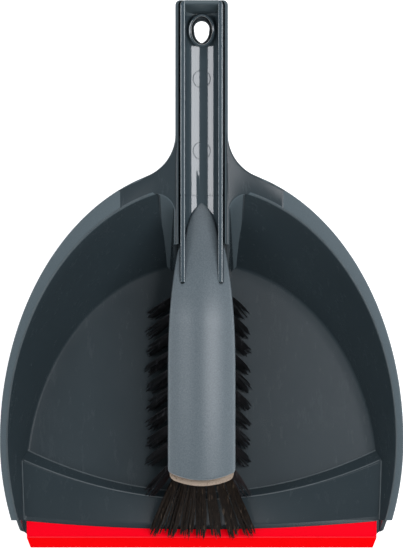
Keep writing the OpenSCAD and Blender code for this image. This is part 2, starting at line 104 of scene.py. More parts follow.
# Handles
SET_LEN = grip_high.y
HANDLE_HALF = grip_high.x + 3
HANDLE_T = 2
CHANNEL_Z = 38.2
CHANNEL_FLOOR = 40.6
GRIP_Z = grip_low.z
GRIP_FLOOR = GRIP_Z + 2.5
RAIL_Z = grip_high.z
TROUGH_R = 9.8
GRIP_Y = grip_low.y
END_R = 3
HANG_Y = SET_LEN - 18
WEB_R = 27
WEB_Y = BOWL_LEN + 17.4
POCKET_R = 10.3
POCKET_Y = BOWL_LEN - RIM_BACK - 15.5
CHEEK_Y = BOWL_LEN - 47
SADDLE_Y = BOWL_LEN - 69

# Brush head
FRONT_Y = head_low.y
NECK_Y = CHEEK_Y - 4
TIP_Y = head_high.y
HEAD_HALF = head_high.x
NECK_HALF = 14.2
CROWN_Z = head_high.z
BASE_Z = RAIL_Z - 5.5
BLOCK_Z = block_low.z
SIDE_DROP = 7
FRONT_FALL = 2
FRONT_R = 42.5


def mix(a, b, t):
    """The value a part t of the way from a to b."""
    return a + (b - a) * t


def clamp(t):
    """A value held between 0 and 1."""
    return min(1, max(0, t))


# ---- making meshes ----


class Form:
    """Points in the drawing's millimetres and faces, gathered into one mesh of closed shells."""

    def __init__(self):
        self.points = []
        self.faces = []

    def add(self, points):
        start = len(self.points)
        self.points += [Vector(p) for p in points]
        return start

    def sheet(self, rows, closed=False):
        """Faces between rows of equally many points. Returns the index of each row's first point."""
        starts = [self.add(row) for row in rows]
        n = len(rows[0])
        for a, b in zip(starts, starts[1:]):
            for j in range(n if closed else n - 1):
                k = (j + 1) % n
                self.faces.append((a + j, a + k, b + k, b + j))
        return starts

    def loft(self, rings):
        """A closed solid through rings."""
        starts = self.sheet(rings, closed=True)
        n = len(rings[0])
        self.faces.append(tuple(starts[0] + j for j in range(n)))
        self.faces.append(tuple(starts[-1] + n - 1 - j for j in range(n)))

    def object(self, name):
        """The mesh as an object, in the frame's metres."""
        mesh = bpy.data.meshes.new(name)
        mesh.from_pydata([placed(p) for p in self.points], [], self.faces)
        work = bmesh.new()
        work.from_mesh(mesh)
        bmesh.ops.recalc_face_normals(work, faces=work.faces)
        work.to_mesh(mesh)
        work.free()
        piece = bpy.data.objects.new(name, mesh)
        bpy.context.scene.collection.objects.link(piece)
        return piece


def rounded(corners, radii, steps=5, closed=True):
    """The corners of a line or ring, each turned into a curve as long as its radius on both sides."""
    out = []
    n = len(corners)
    for i, (corner, radius) in enumerate(zip(corners, radii)):
        if not radius or (not closed and i in (0, n - 1)):
            out.append(corner)
            continue
        before = corners[i - 1] - corner
        after = corners[(i + 1) % n] - corner
        start = corner + before.normalized() * min(radius, before.length * 0.45)
        end = corner + after.normalized() * min(radius, after.length * 0.45)
        for k in range(steps + 1):
            t = k / steps
            out.append(start * (1 - t) ** 2 + corner * 2 * t * (1 - t) + end * t * t)
    return out


def arc(cx, cy, radius, a0, a1, steps):
    """Points on an arc, with angles in degrees."""
    angles = [math.radians(mix(a0, a1, i / steps)) for i in range(steps + 1)]
    return [Vector((cx + radius * math.cos(a), cy + radius * math.sin(a))) for a in angles]


def mirrored(points):
    """The points on the other side of the middle, in reverse order."""
    return [Vector((-p.x, *p[1:])) for p in reversed(points)]


def normals_of(outline):
    """The inward direction at each point of an anticlockwise outline."""
    out = []
    n = len(outline)
    for i in range(n):
        along = (outline[(i + 1) % n] - outline[i - 1]).normalized()
        out.append(Vector((-along.y, along.x)))
    return out


def plate(form, outline, z0, z1, radius, steps=4):
    """A flat plate over an anticlockwise outline, with its upper edge rounded."""
    inward = normals_of(outline)
    levels = [(0, z0), (0, z1 - radius)]
    for k in range(1, steps + 1):
        a = math.radians(90 * k / steps)
        levels.append((radius * (1 - math.cos(a)), z1 - radius + radius * math.sin(a)))
    rings = []
    for inset, z in levels:
        rings.append([(*(p + d * inset), z) for p, d in zip(outline, inward)])
    form.loft(rings)


def baked(piece):
    """Applies a piece's modifiers to its mesh."""
    graph = bpy.context.evaluated_depsgraph_get()
    mesh = bpy.data.meshes.new_from_object(piece.evaluated_get(graph))
    piece.modifiers.clear()
    old = piece.data
    piece.data = mesh
    bpy.data.meshes.remove(old)


def carve(piece, cutter_form):
    """Cuts one closed form out of a piece."""
    cutter = cutter_form.object("cutter")
    cut = piece.modifiers.new("cut", "BOOLEAN")
    cut.object = cutter
    cut.operation = "DIFFERENCE"
    cut.solver = "EXACT"
    baked(piece)
    mesh = cutter.data
    bpy.data.objects.remove(cutter)
    bpy.data.meshes.remove(mesh)


def box_form(x0, x1, y0, y1, z0, z1):
    """A plain box, used for cutting."""
    form = Form()
    corners = [(x0, y0), (x1, y0), (x1, y1), (x0, y1)]
    form.loft([[(x, y, z) for x, y in corners] for z in (z0, z1)])
    return form


def merge(name, pieces):
    """One object that holds the meshes of several."""
    work = bmesh.new()
    for piece in pieces:
        work.from_mesh(piece.data)
        bpy.data.objects.remove(piece)
    mesh = bpy.data.meshes.new(name)
    work.to_mesh(mesh)
    work.free()
    whole = bpy.data.objects.new(name, mesh)
    bpy.context.scene.collection.objects.link(whole)
    return whole


def dress(piece, finish, body, nodes=(), crease=32):
    """Shades a piece smooth up to its creases, gives it its finish and body, and hides the CAD nodes it
    replaces.
    """
    mesh = piece.data
    mesh.polygons.foreach_set("use_smooth", [True] * len(mesh.polygons))
    mesh.set_sharp_from_angle(angle=math.radians(crease))
    mesh.materials.clear()
    mesh.materials.append(finish)
    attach(piece, body)
    if nodes:
        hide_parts(*nodes)
    return piece


# ---- finishes ----


class Wire:
    """A shader value that Python's operators work on."""

    def __init__(self, finish, socket):
        self.finish = finish
        self.socket = socket

    def math(self, operation, *values):
        node = self.finish.node("ShaderNodeMath", {"operation": operation}, dict(enumerate(values)))
        return node.out(0)

    def __add__(self, other):
        return self.math("ADD", self, other)

    def __radd__(self, other):
        return self.math("ADD", other, self)

    def __sub__(self, other):
        return self.math("SUBTRACT", self, other)

    def __rsub__(self, other):
        return self.math("SUBTRACT", other, self)

    def __mul__(self, other):
        return self.math("MULTIPLY", self, other)

    def __rmul__(self, other):
        return self.math("MULTIPLY", other, self)


class Step:
    """A node of a finish, whose outputs are wires."""

    def __init__(self, finish, node):
        self.finish = finish
        self.node = node

    def out(self, name):
        return Wire(self.finish, self.node.outputs[name])


class Finish:
    """A material under construction."""

    def __init__(self, name, **constants):
        self.material = bpy.data.materials.new(name)
        self.material.use_nodes = True
        self.tree = self.material.node_tree
        self.shader = self.tree.nodes["Principled BSDF"]
        for socket, value in constants.items():
            self.shader.inputs[socket.replace("_", " ")].default_value = value

    def node(self, kind, settings, inputs):
        node = self.tree.nodes.new(kind)
        for key, value in settings.items():
            if key == "stops":
                self.set_stops(node.color_ramp, value)
            else:
                setattr(node, key, value)
        for key, value in inputs.items():
            self.feed(node.inputs[key], value)
        return Step(self, node)

    def set_stops(self, ramp, stops):
        while len(ramp.elements) < len(stops):
            ramp.elements.new(1)
        for element, (place, level) in zip(ramp.elements, stops):
            element.position = place
            element.color = (level, level, level, 1)

    def feed(self, socket, value):
        if isinstance(value, Wire):
            self.tree.links.new(value.socket, socket)
        else:
            socket.default_value = value

    def place(self, stretch=(1, 1, 1)):
        """Where a point of the piece is, in metres, stretched along the axes."""
        spot = self.node("ShaderNodeTexCoord", {}, {}).out("Object")
        if stretch == (1, 1, 1):
            return spot
        return self.node("ShaderNodeMapping", {}, {"Vector": spot, "Scale": stretch}).out("Vector")

    def noise(self, size_mm, detail=2, rough=0.5, stretch=(1, 1, 1)):
        """Noise from 0 to 1 with grains of a size."""
        scale = 1 / (size_mm * MM)
        inputs = {"Vector": self.place(stretch), "Scale": scale, "Detail": detail, "Roughness": rough}
        return self.node("ShaderNodeTexNoise", {}, inputs).out("Fac")

    def ramp(self, value, stops):
        return self.node("ShaderNodeValToRGB", {"stops": stops}, {"Fac": value}).out("Color")

    def blend(self, factor, a, b):
        """Mixes two colours."""
        inputs = {0: factor, 6: a, 7: b}
        return self.node("ShaderNodeMix", {"data_type": "RGBA"}, inputs).out(2)

    def bump(self, height, depth_mm, strength=1.0):
        inputs = {"Height": height, "Distance": depth_mm * MM, "Strength": strength}
        return self.node("ShaderNodeBump", {}, inputs).out("Normal")

    def give(self, **wires):
        """Links wires to the shader and returns the material."""
        for socket, value in wires.items():
            self.feed(self.shader.inputs[socket.replace("_", " ")], value)
        return self.material


def tone(red, green, blue):
    """An opaque colour."""
    return (red, green, blue, 1)


def pan_plastic():
    """Satin moulded plastic in slate grey, with faint flow clouds and a fine grain."""
    f = Finish("pan_plastic", Specular_IOR_Level=0.3)
    clouds = f.noise(34, 3, 0.55)
    grain = f.noise(0.55, 2, 0.6)
    scuffs = f.ramp(f.noise(5, 4, 0.7, (1, 0.25, 1)), [(0.56, 0), (0.74, 1)])
    colour = f.blend(clouds * 0.8, tone(0.028, 0.041, 0.048), tone(0.036, 0.051, 0.058))
    colour = f.blend(scuffs * 0.10, colour, tone(0.08, 0.10, 0.11))
    rough = 0.20 + clouds * 0.07 + grain * 0.05 + scuffs * 0.04
    return f.give(Base_Color=colour, Roughness=rough, Normal=f.bump(grain, 0.012))


def rim_and_painted_sheen_plastic():
    """The rim's finely eroded skin, lighter than the bowl; the same lighter colour is also a painted
    reflection on the facets beside the brush's neck.
    """
    f = Finish("rim_and_painted_sheen_plastic", Specular_IOR_Level=0.25)
    clouds = f.noise(30, 3, 0.6)
    grain = f.noise(0.5, 3, 0.7)
    specks = f.ramp(grain, [(0.38, 0), (0.64, 1)])
    colour = f.blend(specks, tone(0.078, 0.107, 0.120), tone(0.108, 0.142, 0.158))
    colour = f.blend(clouds * 0.6, colour, tone(0.082, 0.110, 0.123))
    return f.give(Base_Color=colour, Roughness=0.46 + grain * 0.14, Normal=f.bump(grain, 0.035))


def painted_edge_highlight():
    """Painted highlights: the slim fillet beads along the moulding's edges get a lighter, glossier
    colour.
    """
    f = Finish("painted_edge_highlight", Specular_IOR_Level=0.5)
    clouds = f.noise(9, 3, 0.6)
    grain = f.noise(0.7, 2, 0.6)
    colour = f.blend(clouds, tone(0.062, 0.080, 0.088), tone(0.125, 0.150, 0.160))
    return f.give(Base_Color=colour, Roughness=0.26 + grain * 0.12, Normal=f.bump(grain, 0.01))


def end_wall_painted_light():
    """The handle's end wall, a little duller than the polished trough and painted lighter than it:
    painted light that evens out the wall's dark reflection.
    """
    f = Finish("end_wall_painted_light", Specular_IOR_Level=0.35)
    clouds = f.noise(12, 2)
    grain = f.noise(0.6, 2, 0.6)
    colour = f.blend(clouds, tone(0.074, 0.102, 0.114), tone(0.086, 0.116, 0.128))
    return f.give(Base_Color=colour, Roughness=0.40 + grain * 0.12, Normal=f.bump(grain, 0.01))


def gloss_plastic():
    """Polished plastic in a darker slate, with slight waviness and hairline scratches."""
    f = Finish("handle_gloss", Specular_IOR_Level=0.6)
    clouds = f.noise(22, 2)
    hairs = f.ramp(f.noise(1.2, 3, 0.8, (4, 0.12, 1)), [(0.62, 0), (0.70, 1)])
    waves = f.noise(22, 1, 0.4, (1, 0.5, 1))
    colour = f.blend(clouds, tone(0.052, 0.076, 0.090), tone(0.064, 0.090, 0.104))
    rough = 0.07 + clouds * 0.04 + hairs * 0.05
    return f.give(Base_Color=colour, Roughness=rough, Normal=f.bump(waves, 0.16))


def cover_plastic():
    """Spark-eroded plastic in mid grey: a fine sparkling grain over slow clouds."""
    f = Finish("cover_plastic", Specular_IOR_Level=0.5)
    clouds = f.noise(14, 3, 0.6, (1, 0.6, 1))
    grain = f.noise(0.8, 3, 0.75)
    specks = f.ramp(grain, [(0.34, 0), (0.66, 1)])
    colour = f.blend(specks, tone(0.086, 0.112, 0.128), tone(0.146, 0.180, 0.198))
    colour = f.blend(clouds * 0.5, colour, tone(0.112, 0.141, 0.155))
    rough = 0.30 + grain * 0.14
    return f.give(Base_Color=colour, Roughness=rough, Normal=f.bump(grain, 0.05))


def lip_rubber():
    """Soft red rubber that glows slightly: a painted glow that deepens its red."""
    # Emission Strength gives the rubber a slight red glow: painted light.
    f = Finish("lip_rubber", Specular_IOR_Level=0.03, Emission_Strength=0.12)
    f.shader.inputs["Emission Color"].default_value = tone(1, 0, 0)
    clouds = f.noise(11, 3, 0.6)
    grain = f.noise(0.7, 2, 0.6)
    along = f.node("ShaderNodeSeparateXYZ", {}, {"Vector": f.place()}).out("Y")
    step_y = LIP_EDGE_Y + (LIP_STEP_Y - 0.2) * MM
    behind = along.math("GREATER_THAN", along, step_y)
    # A lighter pink line along the step's edge: a painted highlight.
    crease = along.math("COMPARE", along, step_y, 0.22 * MM)
    colour = f.blend(clouds, tone(0.90, 0.000, 0.001), tone(0.97, 0.000, 0.003))
    colour = f.blend(behind * 0.8, colour, tone(0.95, 0.000, 0.016))
    colour = f.blend(crease * 0.5, colour, tone(0.98, 0.07, 0.09))
    return f.give(Base_Color=colour, Roughness=0.38 + clouds * 0.12, Normal=f.bump(grain, 0.015))


def block_plastic():
    """Beige foamed plastic, pitted and with drawn streaks; the pitting is painted darker, a painted
    shade in the hollows.
    """
    f = Finish("block_plastic", Specular_IOR_Level=0.3)
    streaks = f.noise(3, 3, 0.6, (0.3, 1, 2))
    pits_and_pit_shade = f.ramp(f.noise(0.8, 2, 0.6), [(0.30, 0), (0.44, 1)])
    colour = f.blend(streaks, tone(0.36, 0.27, 0.20), tone(0.52, 0.42, 0.33))
    # The pitting is painted dark: painted shade in the hollows.
    colour = f.blend(pits_and_pit_shade, tone(0.22, 0.16, 0.12), colour)
    return f.give(Base_Color=colour, Roughness=0.6 + streaks * 0.15, Normal=f.bump(pits_and_pit_shade, 0.12))


def bristle_fibre(name, dark, light, pale, shine):
    """Fibre whose strands differ: each takes its tone from slow noise across the tuft."""
    f = Finish(name, Specular_IOR_Level=shine)
    strands = f.noise(0.9, 2, 0.7, (1, 0.22, 0.22))
    stray = f.ramp(f.noise(1.3, 1, 0.5, (1, 0.15, 0.15)), [(0.66, 0), (0.72, 1)])
    colour = f.blend(f.ramp(strands, [(0.35, 0), (0.68, 1)]), dark, light)
    colour = f.blend(stray * 0.7, colour, pale)
    return f.give(Base_Color=colour, Roughness=0.36 + strands * 0.2)


def plain_steel():
    """Drawn steel wire and screws."""
    f = Finish("steel", Metallic=1.0)
    draw = f.noise(0.6, 3, 0.6, (1, 1, 0.1))
    colour = f.blend(draw, tone(0.42, 0.42, 0.44), tone(0.66, 0.66, 0.68))
    return f.give(Base_Color=colour, Roughness=0.25 + draw * 0.2, Normal=f.bump(draw, 0.01))


def pale_floor():
    """The studio floor's nearly white surface."""
    f = Finish("pale_floor", Roughness=0.9, Emission_Strength=0.8)
    f.shader.inputs["Emission Color"].default_value = tone(1, 1, 1)
    tint = f.noise(400, 1)
    return f.give(Base_Color=f.blend(tint, tone(0.86, 0.86, 0.86), tone(0.88, 0.88, 0.88)))


# ---- pan moulding ----


def rim_z(y):
    """How high the rim is: low at the front, rising to the back."""
    t = clamp((y - WALL_Y) / (BOWL_LEN - 29 - WALL_Y))
    return mix(FRONT_H, RIM_H, 1 - (1 - t) ** 1.6)


def rim_point(angle, a, b):
    """A point of the rim's plan: half an ellipse behind the widest place, and another in front."""
    s = math.sin(angle)
    return Vector((a * math.cos(angle), WIDEST_Y + (RIM_FRONT if s < 0 else b) * s))


def foot_point(angle):
    """The foot of the walls: an ellipse round the floor, straight along its front part."""
    side = -1 if math.cos(angle) < 0 else 1
    ahead = math.asin(min(0, math.sin(angle))) / FIRST_ANGLE
    if ahead > 0:
        return Vector((side * (FOOT_A + FOOT_FLARE * ahead), mix(FOOT_MID, WALL_Y, ahead)))
    return Vector((FOOT_A * math.cos(angle), FOOT_MID + FOOT_B * math.sin(angle)))


WALL_RADII = [0, 2.5, 2, 0.6, 0.4, 0.5, 1.3, 1.1, 1.4, 0]


def wall_corners(angle):
    """A section: under the floor, up the outside, round the turned-down rim, down the inside."""
    inner = rim_point(angle, RIM_A - RIM_SIDE, RIM_B - RIM_BACK)
    outer = rim_point(angle, RIM_A, RIM_B)
    foot = foot_point(angle)
    out = Vector((math.cos(angle) / RIM_A, max(0, math.sin(angle)) / RIM_B)).normalized()
    top = rim_z(inner.y)
    lean = (inner - foot) / (top - FLOOR_T)
    skin = out * FLOOR_T * math.sqrt(1 + lean.dot(out) ** 2)
    low = foot - lean * FLOOR_T + skin
    high = inner - lean * FLOOR_T + skin
    turn = outer - out * FLOOR_T
    inside = foot - out * 7
    inside.y = max(inside.y, WALL_Y)
    under = top - FLOOR_T
    drop = top - RIM_DROP
    plan = [inside, low, high, turn, turn, outer, outer, inner, foot, inside]
    levels = [0, 0, under, under, drop, drop, top, top, FLOOR_T, FLOOR_T]
    return [Vector((*p, z)) for p, z in zip(plan, levels)]


def bowl_form():
    """Floor, walls and rim, open at the front."""
    form = Form()
    steps = 144
    angles = [mix(FIRST_ANGLE, math.pi - FIRST_ANGLE, i / steps) for i in range(steps + 1)]
    rows = [rounded(wall_corners(a), WALL_RADII, closed=False) for a in angles]
    starts = form.sheet(rows)
    n = len(rows[0])
    form.faces.append(tuple(range(n)))
    form.faces.append(tuple(starts[-1] + j for j in reversed(range(n))))
    form.faces.append(tuple(s for s in starts))
    form.faces.append(tuple(s + n - 1 for s in reversed(starts)))
    form.faces.append((0, n - 1, starts[-1] + n - 1, starts[-1]))
    return form


def lip_edge(x):
    """Where the lip ends on the ramp."""
    return LIP_LEN + LIP_BOW * (x / LIP_HALF) ** 2


def crest_y(x):
    """Where the ridge's crest runs."""
    return RIDGE_Y + RIDGE_BOW * (x / FOOT_A) ** 2


def crest_back(x):
    """Where the ridge meets the floor behind it."""
    return crest_y(x) + 3.4 + 2.6 * (x / FOOT_A) ** 2


def ramp_form():
    """The ramp up from the lip to the ridge, and the drop behind the ridge."""
    form = Form()
    half = FOOT_A + 1.3
    stations = 64
    rings = []
    for i in range(stations + 1):
        t = 2 * i / stations - 1
        x = t * half
        top_x = t * (half + 2)
        y = lip_edge(x) + 0.1
        corners = [(x, y, 1.65), (x, crest_back(x) + 1.2, 1.65), (x, crest_back(x) + 0.4, FLOOR_T + 0.5),
            (top_x, crest_y(x) + 0.5, RIDGE_H), (x, y + 2.2, FLOOR_T - 0.1)]
        rings.append(rounded([Vector(c) for c in corners], [0, 0.2, 1.0, 1.5, 2], steps=6))
    form.loft(rings)
    return form


def bead(form, line, radius):
    """A slim rounded fillet that follows a line of points."""
    rings = []
    for i, point in enumerate(line):
        along = (line[min(i + 1, len(line) - 1)] - line[max(i - 1, 0)]).normalized()
        side = along.cross(Vector((0, 0, 1))).normalized()
        lift = side.cross(along)
        turn = [2 * math.pi * k / 8 for k in range(8)]
        rings.append([point + side * math.cos(a) * radius + lift * math.sin(a) * radius for a in turn])
    form.loft(rings)


def fillets_form():
    """Fillets at the ramp's sides, at the ridge's foot and crest, and along the rim's inner edge: slim
    beads that carry painted highlight lines.
    """
    form = Form()
    ramp_beads(form)
    ridge_beads(form)
    rim_beads(form)
    return form


def ramp_beads(form):
    """A fillet at each side of the ramp, from the ridge down to the lip."""
    for side in (-1, 1):
        top = Vector((side * (FOOT_A + 2.3), crest_y(FOOT_A) + 0.2, RIDGE_H + 0.3))
        low = Vector((side * (FOOT_A + 1.2), lip_edge(FOOT_A) + 1, FLOOR_T + 0.5))
        bead(form, [top.lerp(low, i / 12) for i in range(13)], 0.42)


def ridge_beads(form):
    """Fillets at the ridge's foot behind it, and along its crest."""
    line = []
    for i in range(49):
        x = mix(-FOOT_A + 0.8, FOOT_A - 0.8, i / 48)
        line.append(Vector((x, crest_back(x) + 0.95, FLOOR_T)))
    bead(form, line, 0.45)
    line = []
    for i in range(49):
        x = mix(-FOOT_A - 1, FOOT_A + 1, i / 48)
        line.append(Vector((x, crest_y(x) + 0.1, RIDGE_H - 0.3)))
    bead(form, line, 0.32)


def rim_beads(form):
    """The rim's inner edge, left and right of the handle."""
    line = []
    for i in range(97):
        angle = mix(FIRST_ANGLE, math.pi - FIRST_ANGLE, i / 96)
        inner = rim_point(angle, RIM_A - RIM_SIDE + 0.3, RIM_B - RIM_BACK + 0.3)
        if abs(inner.x) > HANDLE_HALF + 12 or inner.y < SADDLE_Y:
            line.append(Vector((*inner, rim_z(inner.y) - 0.05)))
    half = len(line) // 2
    bead(form, line[:half], 0.4)
    bead(form, line[half:], 0.4)


def edge_form():
    """The thin front edge that the lip is pushed over, and the walls' toes beside it."""
    form = Form()
    half = FOOT_A + FOOT_FLARE
    nose = LIP_HALF - 2
    right = [Vector((nose, LIP_STEP_Y + 0.1)), Vector((half, WALL_Y - 7)), Vector((half, WALL_Y + 4))]
    plate(form, right + mirrored(right), LIP_UNDER + 0.2, FLOOR_T - 0.02, 0.15)
    for side in (-1, 1):
        rings = []
        for t in (0, 0.12, 0.4, 0.7, 1):
            y = mix(WALL_Y - 6.9, WALL_Y + 0.2, t)
            top = mix(3.2, FRONT_H - 2.4, t)
            outer = half + mix(0.8, 2.4, min(1, t * 8)) + 2.4 * t
            corners = [(half - 0.4, 0.4), (half + mix(0.7, 2.0, t), 0.2), (outer, top - 0.3)]
            corners += [(outer - 0.8, top), (half + mix(0.1, 2.1, t), top - 0.5)]
            ring = rounded([Vector((side * x, y, z)) for x, z in corners], [0.2, 0.3, 0.4, 0.4, 0.4], 3)
            rings.append(ring)
        form.loft(rings)
    return form


def trough_cutter(floor_z):
    """The space of the open handle's channel where it passes over the bowl's back."""
    half = HANDLE_HALF - 0.9
    return box_form(-half, half, SADDLE_Y - 10, BOWL_LEN + 12, floor_z, 2 * RIM_H)


def saddle_piece():
    """The part of the handle's channel that reaches into the bowl, with two facets at each side."""
    x0 = HANDLE_HALF
    corner = arc(x0 + 0.7 + POCKET_R, POCKET_Y, POCKET_R, 180, 95, 14)
    back_top = []
    for x in (22, 16, 8, 0):
        reach = math.sqrt(1 - (x / (RIM_A - RIM_SIDE)) ** 2)
        back_top.append(Vector((x, WIDEST_Y + (RIM_B - RIM_BACK) * reach + 2)))
    top = [Vector((x0 - 0.6, SADDLE_Y + 6)), Vector((x0 + 0.7, CHEEK_Y))] + corner + back_top
    first = Vector((x0 + 2.4, SADDLE_Y + 5.2))
    last = Vector((x0 + 7.2, SADDLE_Y + 9.5))
    line = [first.lerp(last, i / 14) for i in range(15)]
    back_foot = []
    for x in (21, 14, 7, 0):
        back_foot.append(Vector((x, FOOT_MID + FOOT_B * math.sqrt(1 - (x / FOOT_A) ** 2) + 2)))
    foot = [Vector((x0 + 1.2, SADDLE_Y)), Vector((x0 + 2, SADDLE_Y + 4))] + line + back_foot
    form = Form()
    rings = []
    for half, z in ((foot, FLOOR_T / 2), (top, RIM_H - 0.3)):
        ring = half + mirrored(half)[1:]
        rings.append([(*p, z) for p in ring])
    form.loft(rings)
    piece = form.object("saddle")
    carve(piece, box_form(-2 * x0, 2 * x0, SADDLE_Y - 10, CHEEK_Y, CHANNEL_FLOOR, 2 * RIM_H))
    carve(piece, trough_cutter(CHANNEL_FLOOR - 1))
    return piece


def pocket_edge():
    """The rim plate's outline on the right: the pocket's edge, the rim, and the fillet to the handle."""
    x0 = HANDLE_HALF
    end_x = x0 + 34
    line = [Vector((x0 + 0.7, CHEEK_Y + 0.3)), Vector((x0 + 0.7, CHEEK_Y + 8))]
    corner = arc(x0 + 0.7 + POCKET_R, POCKET_Y, POCKET_R, 180, 100, 14)
    a = RIM_A - RIM_SIDE
    b = RIM_B - RIM_BACK
    inner = []
    for i in range(9):
        x = mix(x0 + 13.5, end_x, i / 8)
        inner.append(Vector((x, WIDEST_Y + b * math.sqrt(1 - (x / a) ** 2))))
    outer = []
    for i in range(3):
        x = mix(end_x, x0 + WEB_R - 8, i / 2)
        outer.append(Vector((x, WIDEST_Y + RIM_B * math.sqrt(1 - (x / RIM_A) ** 2))))
    fillet = arc(x0 + WEB_R, WEB_Y + 1.6, WEB_R, 249, 180, 16)
    return line, corner, inner, outer, fillet


def plates_form():
    """The flat plates that carry the rim out to the handle."""
    line, corner, inner, outer, fillet = pocket_edge()
    x_in = HANDLE_HALF - HANDLE_T - 0.03
    right = [Vector((x_in, CHEEK_Y + 0.3))] + line + corner + inner + outer + fillet
    right.append(Vector((x_in, WEB_Y + 3)))
    form = Form()
    for outline in (right, mirrored(right)):
        plate(form, outline, RIM_H - RIM_DROP, RIM_H + 0.012, 1.1)
    return form


def channel_ring(y, half, inner_half):
    """A section of the pan's open handle."""
    corners = [(half, CHANNEL_Z), (half, RIM_H), (inner_half, RIM_H), (inner_half, CHANNEL_FLOOR)]
    corners += [(-x, z) for x, z in reversed(corners)]
    radii = [6, 0.45, 0.5, 5]
    ring = rounded([Vector(c) for c in corners], radii + radii[::-1], 6)
    return [(x, y, z) for x, z in ring]


def egg(grow, z, slit=True):
    """The hanging hole's outline at a height: round behind, longer in front, and slit there."""
    big = 4.6 + grow
    long = 8 + grow
    middle = HANG_Y + 0.9
    points = [(big * p.x, middle + big * p.y, z) for p in arc(0, 0, 1, 0, 180, 28)]
    right = []
    for i in range(1, 15):
        x = mix(big, 1, math.sin(math.radians(90 * i / 14)))
        right.append((x, middle - long * math.sqrt(1 - (x / big) ** 2), z))
    end = middle - 8.9 if slit else middle - long
    right.append((0.95, end, z))
    return [(-x, y, z) for x, y, z in right] + [(x, y, z) for x, y, z in reversed(right)] + points[:-1]


def handle_piece():
    """The pan's open handle."""
    form = Form()
    rings = []
    for y in (CHEEK_Y + 0.2, POCKET_Y, WEB_Y, 270, 300, SET_LEN - END_R):
        rings.append(channel_ring(y, HANDLE_HALF, HANDLE_HALF - HANDLE_T))
    for k in range(1, 9):
        a = math.radians(90 * k / 8)
        drop = END_R * (1 - math.cos(a))
        y = SET_LEN - END_R + END_R * math.sin(a)
        rings.append(channel_ring(y, HANDLE_HALF - drop, HANDLE_HALF - HANDLE_T - drop))
    form.loft(rings)
    piece = form.object("handle")
    hole = Form()
    hole.loft([egg(0, CHANNEL_Z - 1), egg(0, CHANNEL_Z + 8)])
    carve(piece, hole)
    return merge("handle", [piece, handle_end_and_boss()])


def handle_end_and_boss():
    """The wall that closes the open handle's end, and the boss round its hanging hole."""
    extra = Form()
    corners = [(HANDLE_HALF - END_R, CHANNEL_Z + 0.1), (HANDLE_HALF - END_R, GRIP_Z + 8.6)]
    corners += [(-x, z) for x, z in reversed(corners)]
    ring = rounded([Vector(c) for c in corners], [4, 0.6, 0.6, 4], 5)
    extra.loft([[(x, y, z) for x, z in ring] for y in (SET_LEN - HANDLE_T, SET_LEN - 0.05)])
    boss = []
    for grow, z in ((0.05, CHANNEL_Z + 1), (0.05, GRIP_Z + 1.6), (0.35, GRIP_Z + 2), (0.9, GRIP_Z + 2),
            (1.2, GRIP_Z + 1.6), (1.2, CHANNEL_Z + 1)):
        boss.append(egg(grow, z, grow < 0.3))
    extra.sheet(boss + boss[:1], closed=True)
    return extra.object("extra")


# Slot for the rim's lighter skin, which also paints a reflection on the facets beside the neck.
RIM_AND_SHEEN_SLOT = 1
# Slot for the fillet beads' painted highlights.
HIGHLIGHT_SLOT = 2


def has_rim_skin_or_painted_sheen(middle, normal):
    """Whether a face lies on the rim, on the handle's upper edges or on the facets beside the neck,
    which take the rim's lighter colour as a painted reflection.
    """
    beyond = abs(middle.x) - HANDLE_HALF
    on_rim = normal.z > 0.5 and middle.z > rim_z(middle.y) - 1.6
    on_handle = middle.y > WEB_Y and beyond < 1 and middle.z > RIM_H - 2.5
    # The steep facets beside the neck are painted lighter: a painted reflection.
    beside_neck = 2.2 < beyond < 10 and SADDLE_Y < middle.y < POCKET_Y + 4
    on_facet = FLOOR_T + 0.5 < middle.z < RIM_H - 2 and abs(normal.x) > 0.3 and normal.z < 0.8
    return on_rim or on_handle or (beside_neck and on_facet)


def pan_moulding(finish, rim_and_sheen_finish, highlight_finish):
    """The whole pan without its lip, in one piece with three finishes: its plastic, the rim's lighter
    skin (also a painted reflection on the facets beside the neck), and painted highlights on the fillet
    beads.
    """
    bowl = bowl_form().object("bowl")
    carve(bowl, trough_cutter(CHANNEL_FLOOR - 1))
    fillets = fillets_form().object("fillets")
    bright = len(fillets.data.polygons)
    shells = [fillets, bowl, ramp_form().object("ramp"), edge_form().object("edge")]
    shells += [plates_form().object("plates"), saddle_piece(), handle_piece()]
    pan = dress(merge("pan_moulding", shells), finish, "pan", ["dust_pan"])
    pan.data.materials.append(rim_and_sheen_finish)
    pan.data.materials.append(highlight_finish)
    # The fillet beads' faces come first and take the painted highlight finish.
    for face in pan.data.polygons:
        if face.index < bright:
            face.material_index = HIGHLIGHT_SLOT
        elif has_rim_skin_or_painted_sheen(drawn(face.center), face.normal):
            face.material_index = RIM_AND_SHEEN_SLOT
    return pan


